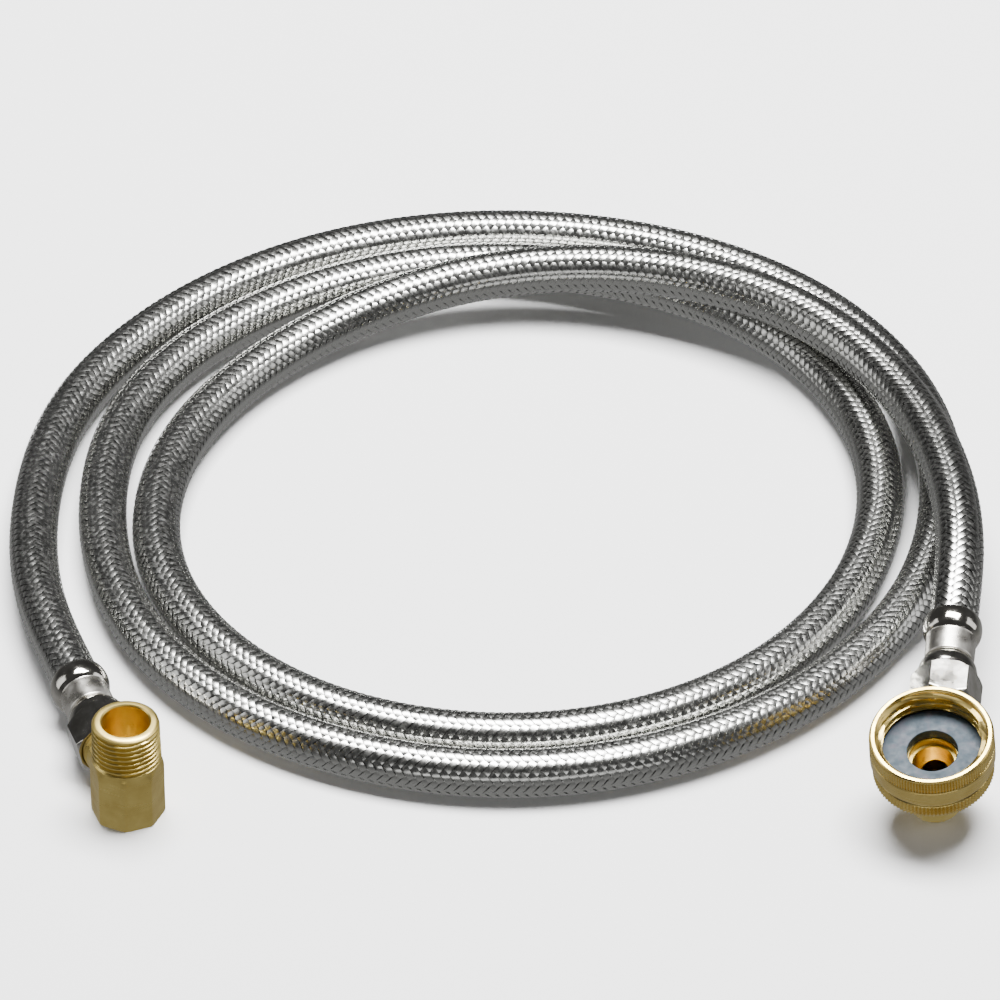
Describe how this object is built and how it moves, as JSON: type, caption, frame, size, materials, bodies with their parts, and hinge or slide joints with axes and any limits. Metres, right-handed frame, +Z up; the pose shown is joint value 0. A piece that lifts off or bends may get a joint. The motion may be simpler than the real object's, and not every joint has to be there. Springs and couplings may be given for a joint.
{
  "type": "braided supply hose",
  "caption": "Flexible steel-braided water supply hose in a loose coil, with compression nuts, a male pipe elbow and a swivelling garden-hose elbow.",
  "frame": {"origin": "on the floor, at the middle of the box round the end fittings", "axes": "+X from the pipe elbow's end to the garden-hose end, +Y from the fittings over the coil, +Z up"},
  "size_m": [0.2486, 0.2537, 0.0315],
  "materials": {
    "braid": "bright stainless wire",
    "liner": "satin",
    "nickel": "polished nickel plate",
    "brass": "machined",
    "nut_brass": "machined and knurled",
    "cone_rubber": "matt",
    "washer_rubber": "matt"
  },
  "bodies": {
    "hose": {"hose_braid": "braid", "hose_liner": "liner", "left_ferrule": "nickel", "left_insert": "brass", "left_cone_washer": "cone_rubber", "right_ferrule": "nickel", "right_insert": "brass", "right_cone_washer": "cone_rubber"},
    "left_nut": {"left_nut": "nickel"},
    "pipe_elbow": {"pipe_elbow": "brass"},
    "right_nut": {"right_nut": "nickel"},
    "garden_elbow": {"garden_elbow": "brass"},
    "garden_nut": {"garden_nut": "nut_brass", "hose_washer": "washer_rubber"}
  },
  "joints": [
    {"name": "left_nut_turn", "type": "hinge", "parent": "hose", "child": "left_nut", "pos_m": [-0.10283, -0.00112, 0.0092], "axis": [-0.342, 0.9397, 0], "range_deg": [0, 1800]},
    {"name": "pipe_elbow_draw", "type": "slide", "parent": "hose", "child": "pipe_elbow", "axis": [0.342, -0.9397, 0], "range_m": [0, 0.00529]},
    {"name": "right_nut_turn", "type": "hinge", "parent": "hose", "child": "right_nut", "pos_m": [0.10758, 0.01013, 0.01399], "axis": [0.1192, 0.9709, 0.2079], "range_deg": [0, 1800]},
    {"name": "garden_elbow_draw", "type": "slide", "parent": "hose", "child": "garden_elbow", "axis": [-0.1192, -0.9709, -0.2079], "range_m": [0, 0.00529]},
    {"name": "garden_nut_spin", "type": "hinge", "parent": "garden_elbow", "child": "garden_nut", "pos_m": [0.10296, -0.0217, 0.02094], "axis": [-0.0772, -0.1997, 0.9768], "continuous": true}
  ],
  "couplings": [
    {"joint": "left_nut_turn", "follows": "pipe_elbow_draw", "rad_per_m": 5936.9},
    {"joint": "right_nut_turn", "follows": "garden_elbow_draw", "rad_per_m": 5936.9}
  ]
}
